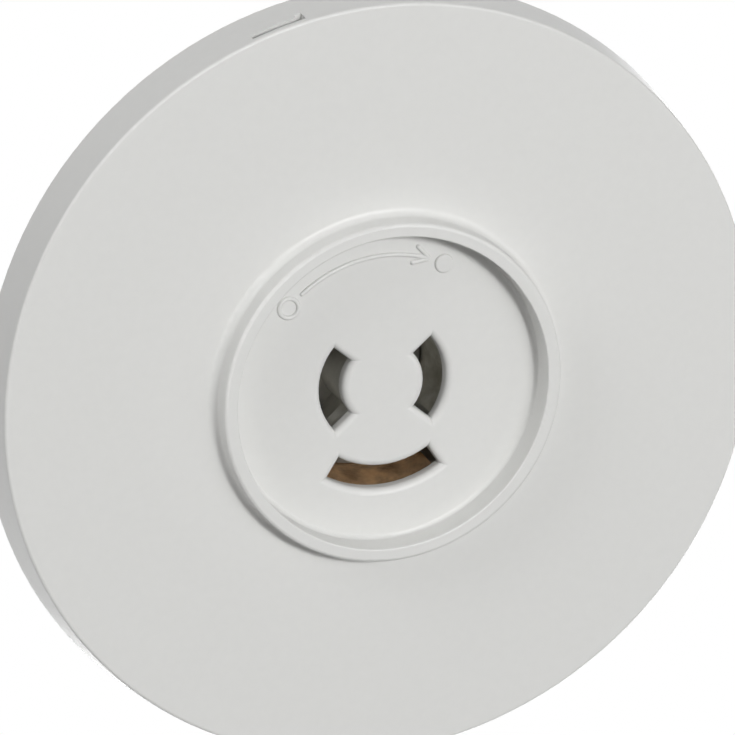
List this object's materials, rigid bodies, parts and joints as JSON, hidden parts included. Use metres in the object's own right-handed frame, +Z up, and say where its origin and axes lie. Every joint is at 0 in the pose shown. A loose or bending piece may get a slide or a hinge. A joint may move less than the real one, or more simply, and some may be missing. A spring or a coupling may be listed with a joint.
{
  "type": "ceiling rose",
  "caption": "Flush round ceiling rose: a pull-off cover disc with a raised collar and arc slots for a twist-lock lamp plug, over a base, brass contacts and screw terminals.",
  "frame": {"origin": "centre of the ceiling plane, between the two fixing slots, on the rose's axis", "axes": "+Z up into the ceiling along the rose's axis, so the face looks down; +X along the line of the fixing slots; the earth slot of the socket lies towards +Y"},
  "size_m": [0.1, 0.1, 0.0259],
  "materials": {
    "cover_plastic": "satin white moulding",
    "base_plastic": "satin white moulding",
    "carrier_plastic": "dark grey heat-resistant moulding",
    "lid_plastic": "pale moulding",
    "contact_brass": "rolled spring strip",
    "terminal_brass": "drawn bar, machined",
    "clamp_steel": "zinc plated",
    "fastener_steel": "zinc plated"
  },
  "bodies": {
    "base": {"base_plate": "base_plastic", "contact_carrier": "carrier_plastic", "terminal_lid": "lid_plastic", "carrier_screws": "fastener_steel", "lid_screws": "fastener_steel", "line_contact": "contact_brass", "neutral_contact": "contact_brass", "earth_contact": "contact_brass", "line_terminal": "terminal_brass", "neutral_terminal": "terminal_brass", "earth_terminal": "terminal_brass", "loop_terminal": "terminal_brass"},
    "cover": {"front_cover": "cover_plastic"},
    "line_clamp_screw_1": {"line_clamp_screw_1": "clamp_steel"},
    "line_clamp_screw_2": {"line_clamp_screw_2": "clamp_steel"},
    "neutral_clamp_screw_1": {"neutral_clamp_screw_1": "clamp_steel"},
    "neutral_clamp_screw_2": {"neutral_clamp_screw_2": "clamp_steel"},
    "earth_clamp_screw_1": {"earth_clamp_screw_1": "clamp_steel"},
    "earth_clamp_screw_2": {"earth_clamp_screw_2": "clamp_steel"},
    "loop_clamp_screw_1": {"loop_clamp_screw_1": "clamp_steel"},
    "loop_clamp_screw_2": {"loop_clamp_screw_2": "clamp_steel"}
  },
  "joints": [
    {"name": "cover_pull", "type": "slide", "parent": "base", "child": "cover", "axis": [0, 0, -1], "range_m": [0, 0.03]},
    {"name": "line_clamp_1_turn", "type": "hinge", "parent": "base", "child": "line_clamp_screw_1", "pos_m": [0.0124, 0.0029, 0.0138], "axis": [0, 0, 1], "range_deg": [0, 990]},
    {"name": "line_clamp_2_turn", "type": "hinge", "parent": "base", "child": "line_clamp_screw_2", "pos_m": [0.0124, -0.0029, 0.0138], "axis": [0, 0, 1], "range_deg": [0, 990]},
    {"name": "neutral_clamp_1_turn", "type": "hinge", "parent": "base", "child": "neutral_clamp_screw_1", "pos_m": [-0.0124, -0.0029, 0.0138], "axis": [0, 0, 1], "range_deg": [0, 990]},
    {"name": "neutral_clamp_2_turn", "type": "hinge", "parent": "base", "child": "neutral_clamp_screw_2", "pos_m": [-0.0124, 0.0029, 0.0138], "axis": [0, 0, 1], "range_deg": [0, 990]},
    {"name": "earth_clamp_1_turn", "type": "hinge", "parent": "base", "child": "earth_clamp_screw_1", "pos_m": [-0.0029, 0.0124, 0.0138], "axis": [0, 0, 1], "range_deg": [0, 990]},
    {"name": "earth_clamp_2_turn", "type": "hinge", "parent": "base", "child": "earth_clamp_screw_2", "pos_m": [0.0029, 0.0124, 0.0138], "axis": [0, 0, 1], "range_deg": [0, 990]},
    {"name": "loop_clamp_1_turn", "type": "hinge", "parent": "base", "child": "loop_clamp_screw_1", "pos_m": [0.0029, -0.0124, 0.0138], "axis": [0, 0, 1], "range_deg": [0, 990]},
    {"name": "loop_clamp_2_turn", "type": "hinge", "parent": "base", "child": "loop_clamp_screw_2", "pos_m": [-0.0029, -0.0124, 0.0138], "axis": [0, 0, 1], "range_deg": [0, 990]}
  ]
}
